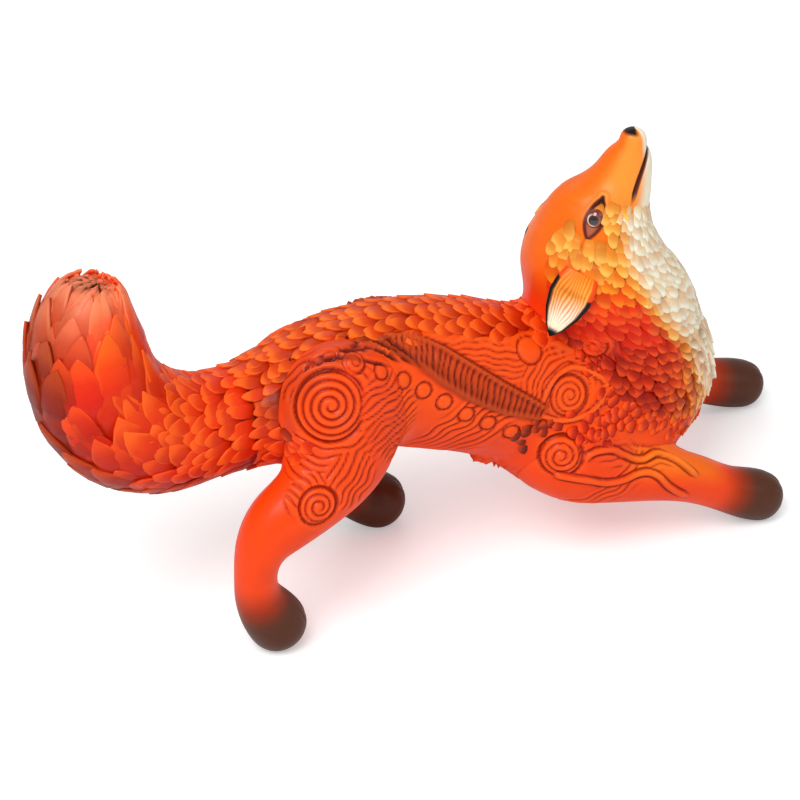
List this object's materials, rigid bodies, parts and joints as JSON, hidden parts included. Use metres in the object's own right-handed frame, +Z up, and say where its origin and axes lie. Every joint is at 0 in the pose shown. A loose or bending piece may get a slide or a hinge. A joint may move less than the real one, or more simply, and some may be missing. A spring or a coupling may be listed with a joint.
{
  "type": "fox figurine",
  "caption": "Carved and painted fox ornament stretching forwards on all paws with its nose in the air and its tail curled up.",
  "frame": {"origin": "on the ground under the middle of the figurine's bounding box", "axes": "+X the way the fox faces, +Y its left side, +Z up"},
  "size_m": [0.2488, 0.0735, 0.1287],
  "materials": {
    "painted_resin": "cast resin, hand painted orange red and sealed with a satin varnish",
    "glass_eye": "polished black glass cabochon",
    "steel": "plain drawn steel rod"
  },
  "bodies": {
    "root": {"trunk": "painted_resin", "head": "painted_resin", "tail": "painted_resin", "right_hind_leg": "painted_resin", "left_hind_leg": "painted_resin", "right_foreleg": "painted_resin", "left_foreleg": "painted_resin", "right_ear": "painted_resin", "left_ear": "painted_resin", "right_eye": "glass_eye", "left_eye": "glass_eye", "neck_dowel": "steel", "tail_dowel": "steel", "right_hind_dowel": "steel", "left_hind_dowel": "steel", "right_fore_dowel": "steel", "left_fore_dowel": "steel", "right_ear_pin": "steel", "left_ear_pin": "steel"}
  },
  "joints": []
}
